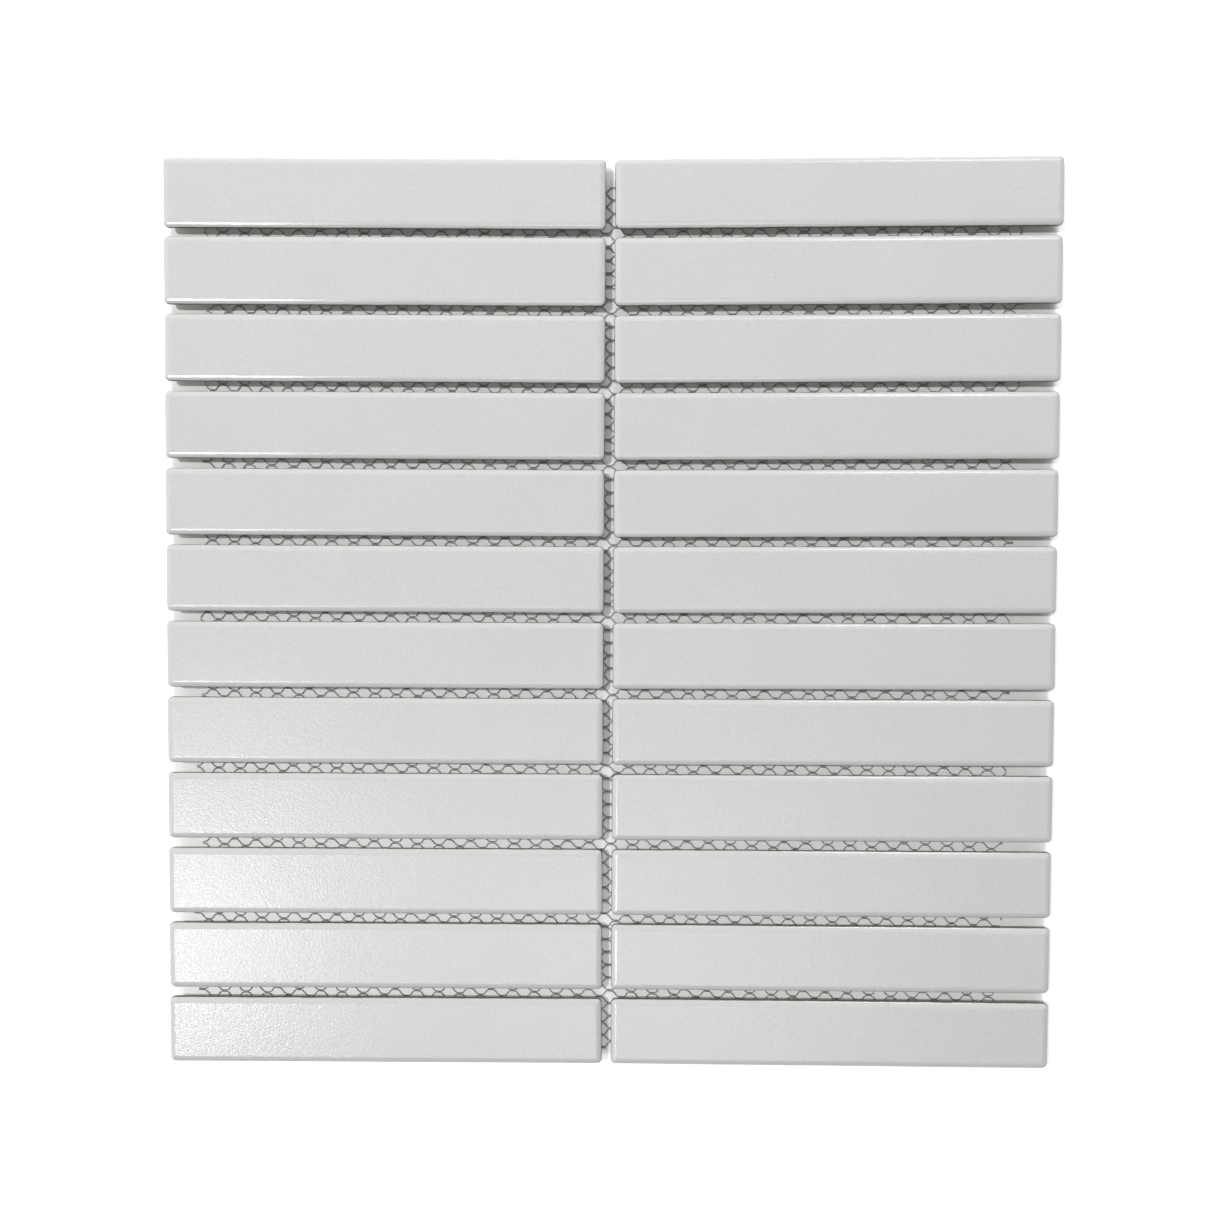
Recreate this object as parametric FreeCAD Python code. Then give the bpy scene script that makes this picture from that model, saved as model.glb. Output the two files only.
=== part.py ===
# Finger mosaic tile: a sheet of slim glazed tiles in two columns, held at an
# even joint by a thin knitted net that is bonded to their backs.
# The origin is the middle of the sheet, in the plane that the net lies on.
# +X runs along the tiles, +Y up the sheet and +Z out of the glazed faces.
# Sizes are in millimetres and degrees.
import FreeCAD
import Part
import math
import os

# One tile: a pressed bar, its back a little smaller than its face, with
# rounded corners and a rounded glazed edge
tile_length = 145.0
tile_width = 22.0
tile_thickness = 6.0
back_inset = 0.3
corner_round = 1.8
edge_round = 1.5

# The roundings are drawn in flats, few because the tile repeats so often
corner_flats = 1
edge_flats = 3

# How the tiles are laid: each tile turns a little about its inner end, in
# even steps from the top row to the bottom row
row_count = 12
end_joint = 3.0
side_joint = 3.1
left_tilt_top = -0.3
left_tilt_bottom = 0.4
right_tilt_top = 0.45
right_tilt_bottom = 0.1

# The net: cut short of the tiles' outer edges, with six-sided cells between
# short junction bars and finer slanting yarns. It is laid a little askew: its
# rows of cells fall to the right and its columns lean to the left.
net_thickness = 0.5
net_inset_left = 10.0
net_inset_right = 11.0
net_inset_top = 6.0
net_inset_bottom = 2.0
row_slope = -3.1
column_lean = 4.1
cell_pitch_across = 7.3
cell_pitch_up = 4.5
bar_length = 2.5
bar_thickness = 0.78
yarn_thickness = 0.42
cell_edge_margin = 2.5
net_band_rows = 3

row_pitch = tile_width + side_joint
sheet_height = row_pitch * (row_count - 1) + tile_width
sheet_half_width = end_joint / 2 + tile_length


def row_middle(row):
    """Height on the sheet of the middle of a row; row 0 is the top one."""
    return sheet_height / 2 - tile_width / 2 - row * row_pitch


def lay_tilt(row, tilt_top, tilt_bottom):
    """Tilt of a row's tile, in even steps from the top row to the bottom row."""
    return tilt_top + (tilt_bottom - tilt_top) * row / max(row_count - 1, 1)


def tile_outline(inset, height):
    """Corners of the tile's outline at a height, drawn in from its full plan."""
    radius = corner_round - inset
    reach_x = tile_length / 2 - corner_round
    reach_y = tile_width / 2 - corner_round
    points = []
    for quarter, (side_x, side_y) in enumerate([(1, 1), (-1, 1), (-1, -1), (1, -1)]):
        for step in range(corner_flats + 1):
            angle = math.radians(90 * (quarter + step / corner_flats))
            x = tile_length / 2 + side_x * reach_x + radius * math.cos(angle)
            y = side_y * reach_y + radius * math.sin(angle)
            points.append(FreeCAD.Vector(x, y, height))
    return points


def flat_face(points):
    """Flat face with the given corners."""
    return Part.Face(Part.makePolygon(points + points[:1]))


def stacked_solid(outlines):
    """Solid with flat faces from each outline to the next, bottom to top."""
    faces = [flat_face(outlines[0]), flat_face(outlines[-1])]
    for low, high in zip(outlines, outlines[1:]):
        for index, corner in enumerate(low):
            after = (index + 1) % len(low)
            faces.append(flat_face([corner, low[after], high[after], high[index]]))
    return Part.makeSolid(Part.makeShell(faces))


def finger_tile():
    """One tile, lying face up with the middle of its inner end at x = 0."""
    outlines = [tile_outline(back_inset, 0)]
    for step in range(edge_flats + 1):
        angle = math.radians(90 * step / edge_flats)
        inset = edge_round * (1 - math.cos(angle))
        height = tile_thickness - edge_round * (1 - math.sin(angle))
        outlines.append(tile_outline(inset, height))
    return stacked_solid(outlines)


def lay_tile(tile, side, row):
    """A copy of the tile in its place: side is -1 for left and 1 for right."""
    if side < 0:
        turn = 180 + lay_tilt(row, left_tilt_top, left_tilt_bottom)
    else:
        turn = lay_tilt(row, right_tilt_top, right_tilt_bottom)
    place = FreeCAD.Vector(side * end_joint / 2, row_middle(row), net_thickness)
    laid = tile.copy()
    laid.Placement = FreeCAD.Placement(place, FreeCAD.Rotation(turn, 0, 0))
    return laid


def net_point(across, up):
    """Point of the net at distances along a row of cells and up a column."""
    slope = math.radians(row_slope)
    lean = math.radians(column_lean)
    x = across * math.cos(slope) - up * math.sin(lean)
    y = across * math.sin(slope) + up * math.cos(lean)
    return FreeCAD.Vector(x, y, 0)


def cell_outline(across, up):
    """Closed outline of one open cell of the net, with six sides."""
    half_width = (cell_pitch_across - bar_length) / 2
    slant = half_width - bar_length / 2
    half_height = cell_pitch_up / 2
    open_height = half_height - bar_thickness / 2
    yarn_across = yarn_thickness / 2 * math.hypot(slant, half_height) / half_height
    wide = half_width - yarn_across
    narrow = wide - slant * open_height / half_height
    ring = [(wide, 0), (narrow, open_height), (-narrow, open_height),
            (-wide, 0), (-narrow, -open_height), (narrow, -open_height)]
    points = [net_point(across + right, up + above) for right, above in ring]
    return Part.makePolygon(points + points[:1])


def shows_in_joint(point):
    """True for a cell whose middle lies nearest to the middle of a joint."""
    lines = [row_middle(row) - row_pitch / 2 for row in range(row_count - 1)]
    in_side_joint = any(abs(point.y - line) <= cell_pitch_up / 4 for line in lines)
    in_end_joint = abs(point.x) < cell_pitch_across / 4
    return in_side_joint or in_end_joint


def net_cells():
    """Every cell that shows in a joint, as its distances along and up the net."""
    levels = int(2 * sheet_height / cell_pitch_up)
    steps = int(2 * sheet_half_width / cell_pitch_across)
    cells = []
    for level in range(-levels, levels + 1):
        shift = cell_pitch_across / 2 if level % 2 else 0.0
        for step in range(-steps, steps + 1):
            cell = (step * cell_pitch_across + shift, level * cell_pitch_up / 2)
            if shows_in_joint(net_point(*cell)):
                cells.append(cell)
    return cells


def net_band(cells, left, right, bottom, top):
    """One band of the net: a thin sheet with its cells cut through."""
    clear_x = cell_edge_margin + cell_pitch_across / 2
    clear_y = cell_edge_margin + cell_pitch_up / 2
    holes = []
    for cell in cells:
        middle = net_point(*cell)
        within_x = left + clear_x < middle.x < right - clear_x
        within_y = bottom + clear_y < middle.y < top - clear_y
        if within_x and within_y:
            holes.append(cell_outline(*cell))
    corners = [(left, bottom), (right, bottom), (right, top), (left, top)]
    points = [FreeCAD.Vector(x, y, 0) for x, y in corners]
    outline = Part.makePolygon(points + points[:1])
    face = Part.makeFace([outline] + holes, "Part::FaceMakerCheese")
    return face.extrude(FreeCAD.Vector(0, 0, net_thickness))


def net_bands():
    """The net from the top down, as bands that meet under the tiles."""
    left = net_inset_left - sheet_half_width
    right = sheet_half_width - net_inset_right
    seams = [sheet_height / 2 - net_inset_top]
    seams += [row_middle(row) for row in range(net_band_rows, row_count, net_band_rows)]
    seams.append(net_inset_bottom - sheet_height / 2)
    cells = net_cells()
    return [net_band(cells, left, right, low, high) for high, low in zip(seams, seams[1:])]


def save(name, shape):
    """Write one piece to its own file."""
    shape.exportStep(f"parts/{name}.step")
    print(name, "volume", round(shape.Volume, 1), "valid", shape.isValid())


os.makedirs("parts", exist_ok=True)
tile = finger_tile()
for row in range(row_count):
    save(f"tile_left_{row + 1:02d}", lay_tile(tile, -1, row))
    save(f"tile_right_{row + 1:02d}", lay_tile(tile, 1, row))
for number, band in enumerate(net_bands(), 1):
    save(f"net_backing_{number}", band)
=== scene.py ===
# %% [markdown]
# # A sheet of finger mosaic
# The real object is a sheet of 24 long, narrow glazed tiles, two columns of twelve,
# held on the back by an open knitted net so that a tiler can lay them all at once.
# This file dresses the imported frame: every tile becomes a soft-edged pressed tile
# with a satin glaze, and the backing becomes real yarn. Each cell builds one thing
# and prints what it made.

# %% Load the frame
import math
import random

import bmesh
import bpy
from mathutils import Matrix, Vector, noise


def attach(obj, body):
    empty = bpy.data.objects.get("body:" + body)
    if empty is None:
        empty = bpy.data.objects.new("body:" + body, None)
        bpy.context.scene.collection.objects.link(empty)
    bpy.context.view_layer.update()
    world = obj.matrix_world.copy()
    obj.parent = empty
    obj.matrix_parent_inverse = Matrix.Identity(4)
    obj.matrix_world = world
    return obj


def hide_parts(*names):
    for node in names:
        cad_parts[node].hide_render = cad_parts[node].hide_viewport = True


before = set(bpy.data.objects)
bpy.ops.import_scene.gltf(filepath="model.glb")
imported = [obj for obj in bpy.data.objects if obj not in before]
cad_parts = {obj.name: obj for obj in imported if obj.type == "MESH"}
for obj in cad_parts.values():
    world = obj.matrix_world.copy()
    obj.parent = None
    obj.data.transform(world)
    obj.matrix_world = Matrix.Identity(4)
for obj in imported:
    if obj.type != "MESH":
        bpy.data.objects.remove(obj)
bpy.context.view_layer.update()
MM = 0.001
scene = bpy.context.scene
# Vector noise starts from the clock unless told otherwise. One fixed start makes
# every run build the same sheet.
noise.seed_set(24)

# %% [markdown]
# ## The camera
# The camera hangs close above the sheet, not much farther away than the sheet is
# wide, and takes it all in with a wide-angle lens. From so near, the rows far from
# the middle show a little of the sides that face it.

# %% Camera over the sheet
eye_data = bpy.data.cameras.new("eye")
eye_data.sensor_width = 36.0
eye_data.lens = 31.85
eye_data.clip_start = 0.01
eye = bpy.data.objects.new("eye", eye_data)
eye.location = (5.35 * MM, 15.87 * MM, 359.05 * MM)
eye.rotation_euler = [math.radians(a) for a in (-1.977, 0.953, 0.304)]
scene.collection.objects.link(eye)
scene.camera = eye
print("camera height in mm:", round(eye.location.z / MM, 1))

# %% [markdown]
# ## Sizes of the sheet
# The same few numbers that drive the frame place everything here: the size of a
# tile, the joints between tiles, and how far the two columns fan out.

# %% Sizes in millimetres
tile_length, tile_width, tile_thickness = 145.0, 22.0, 6.0
corner_round, back_inset = 1.6, 1.45
rim_radius, edge_radius = 3.0, 0.55
rim_drop = rim_radius * (1 - math.cos(math.radians(45))) + edge_radius * math.cos(math.radians(45))
lip_height = tile_thickness - rim_drop
row_count, end_joint, side_joint = 12, 3.0, 3.1
net_thickness = 0.5
row_pitch = tile_width + side_joint
sheet_height = row_count * tile_width + (row_count - 1) * side_joint
lay_tilts = {"left": (-0.3, 0.4), "right": (0.45, 0.1)}


def row_middle(row):
    return sheet_height / 2 - tile_width / 2 - row * row_pitch


def lay_tilt(column, row):
    top, bottom = lay_tilts[column]
    return math.radians(top + (bottom - top) * row / (row_count - 1))


print("rows reach from", round(row_middle(11), 1), "to", round(row_middle(0), 1), "mm")

# %% [markdown]
# ## Small helpers
# A piece is a mesh whose place is in its points, with its object at the origin. It
# rides on the one body of this part and names the finish it takes.

# %% Helpers for pieces and materials
def finished_piece(name, mesh, material, stands_for=()):
    piece = bpy.data.objects.new(name, mesh)
    scene.collection.objects.link(piece)
    mesh.materials.clear()
    mesh.materials.append(material)
    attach(piece, "root")
    if stands_for:
        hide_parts(*stands_for)
    return piece


class Finish:
    """A material and short ways to add its nodes."""

    def __init__(self, name):
        self.material = bpy.data.materials.new(name)
        self.material.use_nodes = True
        self.nodes = self.material.node_tree.nodes
        self.links = self.material.node_tree.links
        self.shader = self.nodes["Principled BSDF"]
        self.place = self.nodes.new("ShaderNodeTexCoord").outputs["Object"]

    def link(self, a, b):
        self.links.new(a, b)

    def grain(self, scale, detail=2.0, rough=0.5, stretch=None):
        tex = self.nodes.new("ShaderNodeTexNoise")
        tex.inputs["Scale"].default_value = scale
        tex.inputs["Detail"].default_value = detail
        tex.inputs["Roughness"].default_value = rough
        place = self.place
        if stretch:
            turn = self.nodes.new("ShaderNodeMapping")
            turn.inputs["Scale"].default_value = stretch
            self.link(place, turn.inputs["Vector"])
            place = turn.outputs["Vector"]
        self.link(place, tex.inputs["Vector"])
        return tex.outputs["Fac"]

    def spread(self, value, low, high, to_low, to_high):
        node = self.nodes.new("ShaderNodeMapRange")
        self.link(value, node.inputs["Value"])
        for key, number in zip(("From Min", "From Max", "To Min", "To Max"),
                               (low, high, to_low, to_high)):
            node.inputs[key].default_value = number
        return node.outputs["Result"]

    def combine(self, kind, a, b):
        node = self.nodes.new("ShaderNodeMath")
        node.operation = kind
        for socket, value in zip(node.inputs, (a, b)):
            if isinstance(value, (int, float)):
                socket.default_value = value
            else:
                self.link(value, socket)
        return node.outputs[0]

    def blend(self, share, a, b):
        node = self.nodes.new("ShaderNodeMix")
        node.data_type = "RGBA"
        self.link(share, node.inputs[0])
        for socket, value in ((node.inputs[6], a), (node.inputs[7], b)):
            if isinstance(value, tuple):
                socket.default_value = (*value, 1.0)
            else:
                self.link(value, socket)
        return node.outputs[2]

    def emboss(self, height, depth_mm, strength, onto=None):
        node = self.nodes.new("ShaderNodeBump")
        node.inputs["Strength"].default_value = strength
        node.inputs["Distance"].default_value = depth_mm * MM
        self.link(height, node.inputs["Height"])
        if onto:
            self.link(onto, node.inputs["Normal"])
        return node.outputs["Normal"]


print("helpers ready")

# %% [markdown]
# ## The glaze
# The tiles are pressed clay with a white satin glaze. Close up a satin glaze is not
# flat: it has a very fine orange-peel skin, slow waves a few millimetres long, faint
# clouds of thinner and thicker glaze, and now and then a pinhole. It runs over the
# rounded edge and stops on the side, where the bare grey-brown clay shows. One
# material does it all: the height above the floor tells glaze from clay. Its colour
# comes first: noises of several sizes mix close greyish whites.

# %% Satin glaze over clay
glaze = Finish("satin_glaze")
cloud = glaze.spread(glaze.grain(38.0, 3.0), 0.3, 0.7, 0.0, 1.0)
wisps = glaze.spread(glaze.grain(26.0, 4.0, 0.6, (0.35, 1.6, 1.0)), 0.35, 0.7, 0.0, 1.0)
mottle = glaze.spread(glaze.grain(900.0, 3.0, 0.7), 0.3, 0.7, 0.0, 0.8)
batch = glaze.nodes.new("ShaderNodeAttribute")
batch.attribute_name = "firing"
glaze_tone = glaze.blend(cloud, (0.695, 0.697, 0.686), (0.730, 0.732, 0.720))
glaze_tone = glaze.blend(glaze.combine("MULTIPLY", wisps, 0.35), glaze_tone,
                         (0.680, 0.690, 0.676))
glaze_tone = glaze.blend(glaze.combine("MULTIPLY", batch.outputs["Fac"], 0.30), glaze_tone,
                         (0.750, 0.750, 0.730))
glaze_tone = glaze.blend(mottle, glaze_tone, (0.655, 0.658, 0.645))
print("nodes for the glaze's colour:", len(glaze.nodes))

# %% [markdown]
# ## Pinholes
# A Voronoi pattern cuts the surface into small cells. A few of them are picked by
# their random colour, and the middle of each picked cell becomes a dark speck.

# %% Pinholes in the glaze
pinholes = glaze.nodes.new("ShaderNodeTexVoronoi")
pinholes.inputs["Scale"].default_value = 130.0
glaze.link(glaze.place, pinholes.inputs["Vector"])
pinhole_pick = glaze.nodes.new("ShaderNodeSeparateColor")
glaze.link(pinholes.outputs["Color"], pinhole_pick.inputs[0])
near = glaze.spread(pinholes.outputs["Distance"], 0.02, 0.045, 1.0, 0.0)
rare = glaze.combine("GREATER_THAN", pinhole_pick.outputs[0], 0.93)
speck = glaze.combine("MULTIPLY", near, rare)
glaze_tone = glaze.blend(glaze.combine("MULTIPLY", speck, 0.5), glaze_tone, (0.36, 0.35, 0.33))
print("nodes with the pinholes:", len(glaze.nodes))

# %% [markdown]
# ## Clay under the glaze
# The glaze stops a little above the tight edge of the rim. From there to a little
# below the lip the side is near-black: partly the bare edge of the clay, partly
# painted shade under the lip. Further down the body shows grey-brown. The lines
# between them wander a little, as glaze does where it runs.

# %% Clay under the glaze
clay_grain = glaze.grain(900.0, 4.0, 0.65)
body_tone = glaze.blend(clay_grain, (0.30, 0.285, 0.245), (0.42, 0.40, 0.35))
# Near-black tone for the strip just under the glaze edge: partly the bare clay edge, partly painted
# shade under the lip.
bare_edge_and_shade_tone = glaze.blend(clay_grain, (0.09, 0.083, 0.070), (0.16, 0.148, 0.125))

height = glaze.nodes.new("ShaderNodeSeparateXYZ")
glaze.link(glaze.place, height.inputs[0])
run_edge = glaze.combine("ADD", height.outputs["Z"],
                     glaze.spread(glaze.grain(160.0, 2.0), 0.3, 0.7, -0.06 * MM, 0.06 * MM))
lip = net_thickness + lip_height
over_rim = glaze.spread(height.outputs["Z"], (net_thickness + tile_thickness - 0.16) * MM,
                        (net_thickness + tile_thickness - 0.01) * MM, 1.0, 0.0)
# Painted light: on the rim the glaze takes one flat white, a touch lighter than the face on
# average, in place of the clouds and mottle, so the rim reads brighter.
glaze_tone = glaze.blend(over_rim, glaze_tone, (0.705, 0.707, 0.698))
glazed = glaze.spread(run_edge, (lip + 0.28) * MM, (lip + 0.48) * MM, 0.0, 1.0)
# Painted shade: the band from the glaze edge down to a little below the lip takes the near-black
# tone.
bare_edge_and_shade = glaze.spread(run_edge, (lip - 0.70) * MM, (lip - 0.45) * MM, 0.0, 1.0)
side_tone = glaze.blend(bare_edge_and_shade, body_tone, bare_edge_and_shade_tone)
glaze.link(glaze.blend(glazed, side_tone, glaze_tone), glaze.shader.inputs["Base Color"])
print("glaze ends", round(lip + 0.38, 2), "mm above the floor")

# %% [markdown]
# ## Gloss and skin
# Satin gloss is uneven in tiny spots and sharper on the rim, where the glaze pools.
# The slow waves and the fine orange peel are bumps, and both are calmer on the rim.

# %% Gloss and orange peel
peel = glaze.grain(1600.0, 1.5, 0.5)
satin = glaze.spread(glaze.grain(2000.0, 3.0, 0.7), 0.35, 0.65, 0.18, 0.42)
satin = glaze.combine("SUBTRACT", satin, glaze.combine("MULTIPLY", over_rim, 0.19))
glaze.link(glaze.combine("ADD", satin, glaze.spread(glazed, 0.0, 1.0, 0.5, 0.0)),
           glaze.shader.inputs["Roughness"])
calm = glaze.spread(over_rim, 0.0, 1.0, 1.0, 0.3)
waves = glaze.emboss(glaze.combine("MULTIPLY", glaze.grain(210.0, 2.0), calm), 0.06, 0.35)
skin = glaze.emboss(glaze.combine("MULTIPLY", peel, calm), 0.085, 1.0, waves)
glaze.link(skin, glaze.shader.inputs["Normal"])
print("glaze nodes:", len(glaze.nodes))

# %% [markdown]
# ## One pressed tile
# Cut across, a real tile has a flat face, a soft rim that rolls down to half a right
# angle, a tight edge where the glaze ends, and a side drawn in towards the back.
# So the tile is a stack of outlines: each is a quad whose corners are rounded by a
# vertex bevel, and bridging one to the next makes the sides. The tile is cut across
# every 15 mm, so that a noise can bend its long sides a little. A Weighted Normal
# modifier lets the flat faces rule the smooth shading, so only the rim looks round.

# %% Press a tile
cut_step, side_wave = 15.0, 0.07


def side_profile():
    """(inset, height, corner radius) from the back up to the face, in mm."""
    steps = [(back_inset + 0.30, 0.0, 0.8), (back_inset + 0.10, 0.08, 1.0),
             (back_inset, 0.3, 1.1), (0.15, lip_height - 1.1, corner_round),
             (0.03, lip_height - 0.6, corner_round), (0.0, lip_height, corner_round)]
    for fall in (75, 60, 45):
        lean = math.radians(fall)
        steps.append((edge_radius * (1 - math.sin(lean)),
                      lip_height + edge_radius * math.cos(lean), corner_round))
    edge_inset = steps[-1][0]
    for fall in (36, 27, 18, 9, 0):
        lean = math.radians(fall)
        inset = edge_inset + rim_radius * (math.sin(math.radians(45)) - math.sin(lean))
        height = tile_thickness - rim_radius * (1 - math.cos(lean))
        steps.append((inset, height, max(corner_round - inset, 0.35 - 0.05 * inset)))
    return steps


def outline(bm, inset, height, radius):
    quad = bmesh.ops.create_grid(bm, x_segments=1, y_segments=1, size=0.5)["verts"]
    size = ((tile_length - 2 * inset) * MM, (tile_width - 2 * inset) * MM, 1)
    bmesh.ops.scale(bm, vec=size, verts=quad)
    bmesh.ops.translate(bm, vec=(0, 0, height * MM), verts=quad)
    bmesh.ops.bevel(bm, geom=quad, offset=radius * MM, segments=6, profile=0.5,
                    affect="VERTICES", material=-1)
    return max(bm.faces, key=lambda f: f.calc_center_median().z)


def pressed_tile(rng):
    bm = bmesh.new()
    steps = side_profile()
    faces = [outline(bm, *step) for step in steps]
    rings = [list(f.edges) for f in faces]
    bmesh.ops.delete(bm, geom=faces[1:-1], context="FACES_ONLY")
    for low, high in zip(rings, rings[1:]):
        bmesh.ops.bridge_loops(bm, edges=low + high)
    for cut in range(-4, 5):
        bmesh.ops.bisect_plane(bm, geom=bm.verts[:] + bm.edges[:] + bm.faces[:],
                               plane_co=(cut * cut_step * MM, 0, 0), plane_no=(1, 0, 0))
    bmesh.ops.recalc_face_normals(bm, faces=bm.faces)
    seed = Vector((rng.uniform(0, 90), rng.uniform(0, 90), rng.uniform(0, 90)))
    for v in bm.verts:
        wave = noise.noise_vector(v.co * 28.0 + seed)
        v.co.x -= math.copysign(abs(wave.x), v.co.x) * (side_wave * MM)
        v.co.y -= math.copysign(abs(wave.y), v.co.y) * (side_wave * MM)
    for f in bm.faces:
        f.smooth = True
    return bm


test_tile = pressed_tile(random.Random(1))
print("faces of a tile:", len(test_tile.faces))
test_tile.free()

# %% [markdown]
# ## Laying the tiles
# The rows are evenly spaced, but both columns fan out a little from the middle
# joint, as a sheet laid by hand does. Every tile is turned about the middle of its
# inner end. Pressed tiles differ by a few tenths of a millimetre: four of them are
# wider, so their front sides are moved out. The number called firing makes one tile
# a touch lighter than the next.

# %% Lay both columns
rng = random.Random(24)
extra_width = {("left", 0): 0.55, ("right", 0): 0.25, ("left", 1): 0.2, ("right", 4): 0.15}
tiles = []
for column, half_turn in (("left", math.pi), ("right", 0.0)):
    side = -1 if column == "left" else 1
    for row in range(row_count):
        bm = pressed_tile(rng)
        bmesh.ops.translate(bm, vec=(tile_length / 2 * MM, 0, 0), verts=bm.verts)
        turn = Matrix.Rotation(lay_tilt(column, row) + half_turn, 3, "Z")
        bmesh.ops.rotate(bm, cent=(0, 0, 0), matrix=turn, verts=bm.verts)
        bmesh.ops.translate(bm, vec=(0, -extra_width.get((column, row), 0.0) * MM, 0),
                            verts=[v for v in bm.verts if v.co.y < 0])
        spot = Vector((side * end_joint / 2, row_middle(row), net_thickness)) * MM
        bmesh.ops.translate(bm, vec=spot, verts=bm.verts)
        node = f"tile_{column}_{row + 1:02d}"
        mesh = bpy.data.meshes.new(f"glazed_{node}")
        bm.to_mesh(mesh)
        bm.free()
        tone = mesh.attributes.new("firing", "FLOAT", "POINT")
        tone.data.foreach_set("value", [rng.random()] * len(mesh.vertices))
        tile = finished_piece(f"glazed_{node}", mesh, glaze.material, (node,))
        tile.modifiers.new("flat faces rule", "WEIGHTED_NORMAL")
        tiles.append(tile)
print("tiles laid:", len(tiles))

# %% [markdown]
# ## The yarn
# The net is knitted from grey coated yarn, a little darker where the coating is
# thin. Fine lines run along the yarn, nearly along the rows, so a noise that is
# squeezed across the rows stands for the fibres.

# %% Grey yarn
yarn = Finish("grey_yarn")
fibres = yarn.grain(900.0, 3.0, 0.6, (0.25, 2.2, 2.2))
stains = yarn.grain(45.0, 3.0, 0.55)
yarn_tone = yarn.blend(yarn.spread(fibres, 0.3, 0.7, 0.0, 1.0),
                       (0.320, 0.324, 0.320), (0.460, 0.464, 0.456))
yarn_tone = yarn.blend(yarn.spread(stains, 0.35, 0.75, 0.0, 0.45), yarn_tone, (0.36, 0.366, 0.36))
yarn.link(yarn_tone, yarn.shader.inputs["Base Color"])
yarn.link(yarn.spread(fibres, 0.2, 0.8, 0.62, 0.85), yarn.shader.inputs["Roughness"])
yarn.link(yarn.emboss(fibres, 0.06, 0.6), yarn.shader.inputs["Normal"])
print("yarn nodes:", len(yarn.nodes))

# %% [markdown]
# ## How the net is knitted
# Every yarn runs in a zigzag across the sheet: along a short bar, up to the next
# bar, along it, and down again. Two neighbours share each bar and lie side by side
# on it, so the gaps between them become six-sided cells. The net lies a little
# askew under the tiles, so a place on it is turned and shifted first.

# %% A place on the net
row_slope, column_lean = math.radians(-3.17), math.radians(3.85)
cell_pitch_across, cell_pitch_up = 7.32, 4.39
bar_reach, yarn_radius, side_by_side = 1.3, 0.205, 0.205
net_shift = (3.31, 0.02)


def net_point(across, up):
    return (net_shift[0] + across * math.cos(row_slope) - up * math.sin(column_lean),
            net_shift[1] + across * math.sin(row_slope) + up * math.cos(column_lean))


print("net slopes by", round(math.degrees(row_slope), 2), "degrees")

# %% [markdown]
# ## Where the net is cut
# The net is trimmed well inside the outer ends of the tiles. The cut sways slowly
# down the sheet and is nicked by a millimetre from yarn to yarn, so two noises of
# different speed move it.

# %% Cut of the net
sway, nick = 2.4, 1.2


def cut_left(y):
    slow = noise.noise(Vector((y * 0.045, 3.1, 0)))
    fast = noise.noise(Vector((y * 0.5, 7, 0)))
    return -137.6 + 0.018 * y + sway * slow + nick * fast


def cut_right(y):
    slow = noise.noise(Vector((y * 0.03, 9.7, 0)))
    fast = noise.noise(Vector((y * 0.5, 2, 0)))
    return 134.3 + 0.020 * y + sway * slow + nick * fast


cut_front, cut_back, net_width = -148.0, 143.0, 271.9


def inside_cut(x, y):
    return cut_left(y) < x < cut_right(y) and cut_front < y < cut_back


print("net is cut from", round(cut_left(0), 1), "to", round(cut_right(0), 1), "mm")

# %% [markdown]
# ## One yarn
# A yarn is a smooth curve through three points per bar. Two noises push it about: a
# slow one bends whole rows, and a fast one makes every loop a little different.
# Pieces of yarn outside the cut are dropped, and so are very short snippets.

# %% Points of one yarn
steps_each_way = 44
yarn_height, over_under = 0.25, 0.015
slow_push, fast_push = 0.35, (0.10, 0.07, 0.03)


def yarn_points(row):
    half = cell_pitch_across / 2
    start = half if row % 2 == 0 else 0.0
    points = []
    for step in range(-steps_each_way, steps_each_way + 1):
        level = row + step % 2
        offset = side_by_side if step % 2 == 0 else -side_by_side
        middle = start + step * half
        for reach in (-bar_reach, 0.0, bar_reach):
            across = middle + reach
            up = level * cell_pitch_up / 2 + offset
            x, y = net_point(across, up)
            slow = noise.noise_vector(Vector((x, y, 0)) * 0.06)
            fast = noise.noise_vector(Vector((x, y, row * 0.37)) * 0.9)
            points.append((x + slow_push * slow.x + fast_push[0] * fast.x,
                           y + slow_push * slow.y + fast_push[1] * fast.y,
                           yarn_height + fast_push[2] * fast.z
                           + (over_under if step % 2 else -over_under)))
    return points


shortest_run = 4


def runs_inside(points):
    run, runs = [], []
    for p in points:
        if inside_cut(p[0], p[1]):
            run.append(p)
        elif run:
            runs.append(run)
            run = []
    if run:
        runs.append(run)
    return [r for r in runs if len(r) > shortest_run]


print("points of the middle yarn:", len(yarn_points(0)))

# %% [markdown]
# ## Knitting four bands
# All yarns of a band go into one curve object with a round section, which Blender
# turns into a mesh. Four bands keep each piece light. Each band is an open sheet
# laid on the floor. The little discs that close a curve's ends are loose, so they
# are welded to the yarn.

# %% Knit the bands
def curve_to_mesh(curve, name):
    holder = bpy.data.objects.new(name, curve)
    scene.collection.objects.link(holder)
    bpy.context.view_layer.update()
    seen = holder.evaluated_get(bpy.context.evaluated_depsgraph_get())
    mesh = bpy.data.meshes.new_from_object(seen)
    bpy.data.objects.remove(holder)
    bpy.data.curves.remove(curve)
    mesh.name = name
    bm = bmesh.new()
    bm.from_mesh(mesh)
    bmesh.ops.remove_doubles(bm, verts=bm.verts, dist=0.001 * MM)
    bmesh.ops.recalc_face_normals(bm, faces=bm.faces)
    print(name, "open edges:", sum(edge.is_boundary for edge in bm.edges))
    bm.to_mesh(mesh)
    bm.free()
    for polygon in mesh.polygons:
        polygon.use_smooth = True
    return mesh


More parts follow.
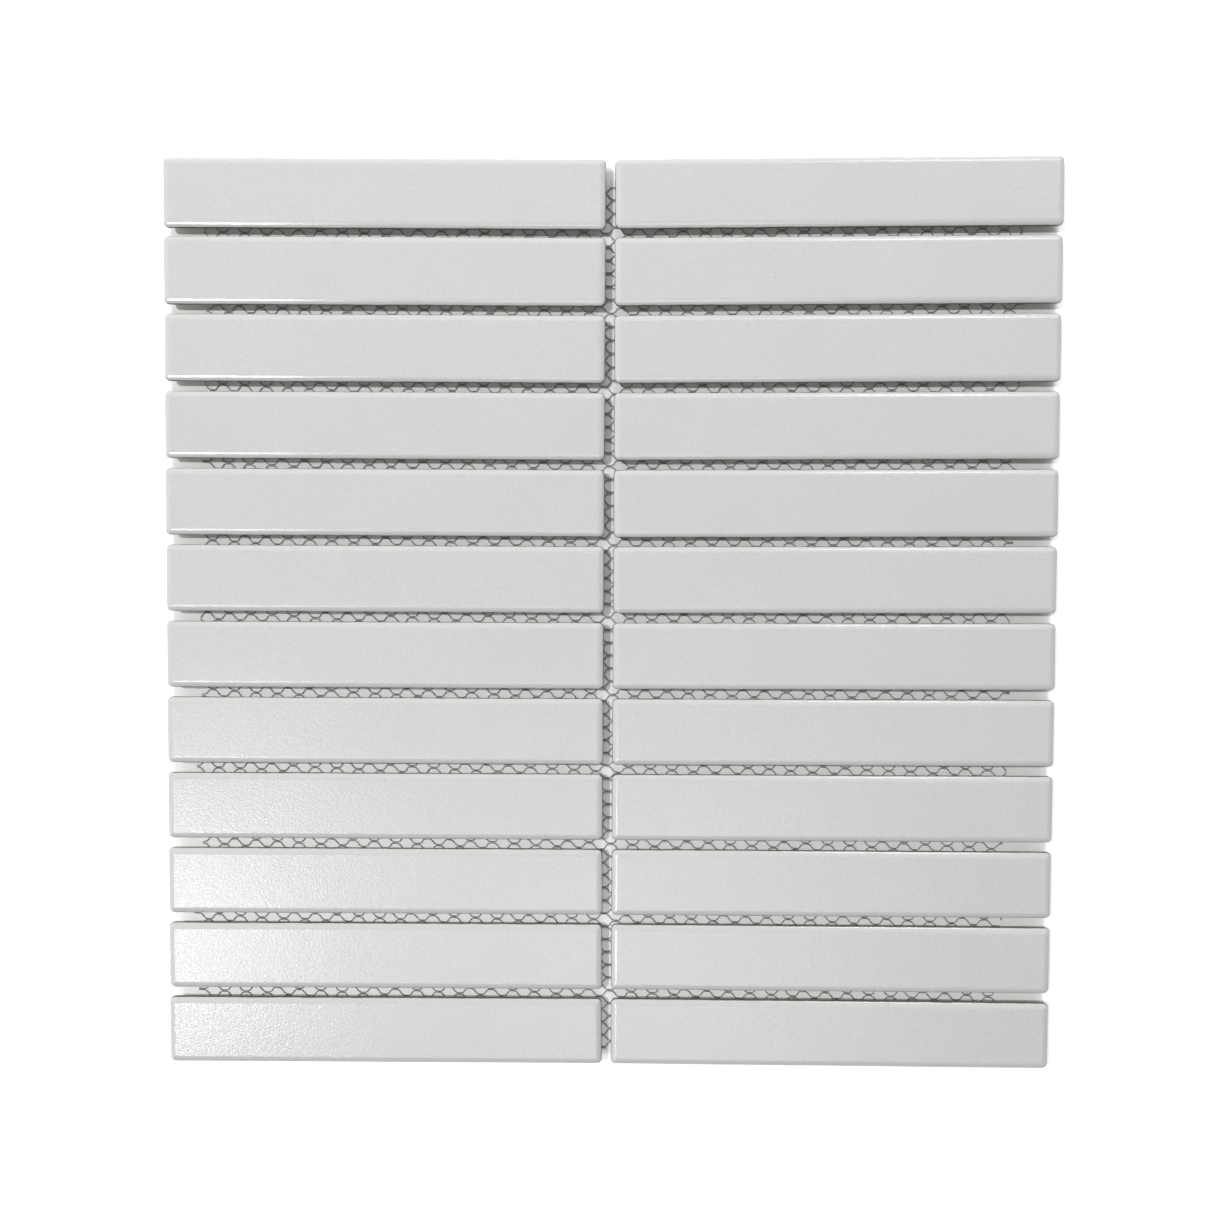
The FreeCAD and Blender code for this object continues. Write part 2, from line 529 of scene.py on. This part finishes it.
def round_strands(name, runs, radius, sides, steps):
    curve = bpy.data.curves.new(name, "CURVE")
    curve.dimensions = "3D"
    curve.bevel_depth = radius * MM
    curve.bevel_resolution = sides
    curve.resolution_u = steps
    curve.use_fill_caps = True
    for run in runs:
        spline = curve.splines.new("NURBS")
        spline.points.add(len(run) - 1)
        spline.points.foreach_set(
            "co", [c for p in run for c in (p[0] * MM, p[1] * MM, p[2] * MM, 1.0)])
        spline.order_u = 3
        spline.use_endpoint_u = True
    return curve_to_mesh(curve, name)


last_row = int(sheet_height / cell_pitch_up) + 6
net_rows = range(last_row, -last_row - 1, -1)
band_limits = [math.inf, row_middle(3), row_middle(6), row_middle(9), -math.inf]
for band in range(4):
    runs = []
    for row in net_rows:
        if band_limits[band + 1] <= row * cell_pitch_up / 2 < band_limits[band]:
            runs += runs_inside(yarn_points(row))
    mesh = round_strands(f"yarn_band_{band + 1}", runs, yarn_radius, 1, 2)
    piece = finished_piece(f"yarn_band_{band + 1}", mesh, yarn.material,
                           (f"net_backing_{band + 1}",))
    mesh.calc_loop_triangles()

# %% [markdown]
# ## The floor
# The sheet lies on a plain white floor with a paper grain. In the open joints it is
# lit like any pale paper. Outside the sheet, from just under its outer edges on, the
# camera and the reflections see it glow to white, which makes the white background
# and lights nothing. A faint painted glare of the same kind lies over the joints,
# strongest at the front left, and stands for the window's glare on the paper between the yarns.

# %% Floor
glow_starts, glow_full = (145.8, 146.5), (147.4, 149.0)
floor_finish = Finish("white_floor")
paper = floor_finish.grain(700.0, 3.0, 0.6)
floor_finish.link(floor_finish.blend(paper, (0.92, 0.93, 0.93), (0.96, 0.965, 0.965)),
                  floor_finish.shader.inputs["Base Color"])
floor_finish.shader.inputs["Roughness"].default_value = 0.5
floor_finish.shader.inputs["Specular IOR Level"].default_value = 0.5
floor_finish.link(floor_finish.emboss(paper, 0.05, 0.3), floor_finish.shader.inputs["Normal"])
across = floor_finish.nodes.new("ShaderNodeSeparateXYZ")
floor_finish.link(floor_finish.place, across.inputs[0])
past_side = floor_finish.spread(floor_finish.combine("ABSOLUTE", across.outputs["X"], 0.0),
                                glow_starts[0] * MM, glow_full[0] * MM, 0.0, 1.0)
past_end = floor_finish.spread(floor_finish.combine("ABSOLUTE", across.outputs["Y"], 0.0),
                               glow_starts[1] * MM, glow_full[1] * MM, 0.0, 1.0)
outside = floor_finish.combine("MAXIMUM", past_side, past_end)
rays = floor_finish.nodes.new("ShaderNodeLightPath")
seen = floor_finish.combine("MAXIMUM", rays.outputs["Is Camera Ray"], rays.outputs["Is Glossy Ray"])
# Painted glare: a glow over the joints, strongest at the front left.
to_front = floor_finish.spread(across.outputs["Y"], -95 * MM, 20 * MM, 0.16, 0.015)
to_left = floor_finish.spread(across.outputs["X"], -100 * MM, 100 * MM, 1.35, 0.65)
painted_glare = floor_finish.combine("MULTIPLY", to_front, to_left)
bright = floor_finish.combine("MAXIMUM", floor_finish.combine("MULTIPLY", outside, 0.45), painted_glare)
glow = floor_finish.combine("MULTIPLY", bright, seen)
floor_finish.shader.inputs["Emission Color"].default_value = (1, 1, 1, 1)
floor_finish.link(glow, floor_finish.shader.inputs["Emission Strength"])

bm = bmesh.new()
bmesh.ops.create_grid(bm, x_segments=1, y_segments=1, size=2.0)
floor_mesh = bpy.data.meshes.new("floor")
bm.to_mesh(floor_mesh)
bm.free()
floor_mesh.materials.append(floor_finish.material)
floor = bpy.data.objects.new("floor", floor_mesh)
scene.collection.objects.link(floor)
print("floor laid")

# %% [markdown]
# ## Lamps
# The light of the room is taken apart. A small lamp from the left gives the sharp
# shades in the joints, and a wide one low behind the sheet lights the far rims; both
# are kept out of the reflections. Two windows are seen only as gloss. The one at the
# front left draws the long highlights on the rims and the grain of the glaze, and a
# wider, weaker one straight in front gives the nearest rows a soft sheen. A smaller
# window behind on the right glints on the far rims.

# %% Lamps
def lamp(name, place, size, watts):
    data = bpy.data.lights.new(name, "AREA")
    data.shape = "DISK"
    data.size = size
    data.energy = watts
    holder = bpy.data.objects.new(name, data)
    holder.location = place
    to_sheet = Vector((0, 0, 0)) - Vector(place)
    holder.rotation_euler = to_sheet.to_track_quat("-Z", "Y").to_euler()
    scene.collection.objects.link(holder)
    return holder


left_lamp = lamp("left_lamp", (-0.68, 0.32, 1.6), 0.08, 14.0)
left_lamp.data.color = (1.0, 0.995, 0.980)
left_lamp.visible_glossy = False
window = lamp("window", (-0.60, -0.47, 1.0), 0.32, 6.3)
window.visible_diffuse = False
near_window = lamp("near_window", (0.03, -0.49, 1.0), 0.55, 2.2)
near_window.visible_diffuse = False
joint_lamp = lamp("joint_lamp", (0.0, 1.15, 0.85), 0.35, 5.2)
joint_lamp.visible_glossy = False
lamp("back_window", (0.38, 0.96, 0.62), 0.30, 1.8)

# %% [markdown]
# ## Sky
# The sky fills in the shades. It is brighter near the horizon than overhead, and
# brighter towards the left and the front, so the right-hand ends of the tiles look
# darker. To the camera itself the sky is almost plain white.

# %% Sky
sky = bpy.data.worlds.new("sky")
sky.use_nodes = True
scene.world = sky
sky_light = sky.node_tree.nodes["Background"]
sky_light.inputs["Color"].default_value = (0.970, 0.998, 1.0, 1.0)
sky_nodes, sky_links = sky.node_tree.nodes, sky.node_tree.links
sky_rays = sky_nodes.new("ShaderNodeLightPath")
sky_way = sky_nodes.new("ShaderNodeSeparateXYZ")
sky_links.new(sky_nodes.new("ShaderNodeTexCoord").outputs["Generated"], sky_way.inputs[0])
sky_fade = sky_nodes.new("ShaderNodeMapRange")
for key, number in (("From Min", 0.0), ("From Max", 1.0), ("To Min", 0.56), ("To Max", 0.21)):
    sky_fade.inputs[key].default_value = number
sky_links.new(sky_way.outputs["Z"], sky_fade.inputs["Value"])
sky_level = sky_fade.outputs["Result"]
for axis, lean in (("X", -0.20), ("Y", -0.05)):
    sky_lean = sky_nodes.new("ShaderNodeMath")
    sky_lean.operation = "MULTIPLY_ADD"
    sky_lean.inputs[1].default_value = lean
    sky_links.new(sky_way.outputs[axis], sky_lean.inputs[0])
    sky_links.new(sky_level, sky_lean.inputs[2])
    sky_level = sky_lean.outputs[0]
sky_white = sky_nodes.new("ShaderNodeMath")
sky_white.operation = "MAXIMUM"
sky_links.new(sky_rays.outputs["Is Camera Ray"], sky_white.inputs[0])
sky_links.new(sky_level, sky_white.inputs[1])
sky_links.new(sky_white.outputs[0], sky_light.inputs["Strength"])
scene.view_settings.view_transform = "Standard"
print("sky set")
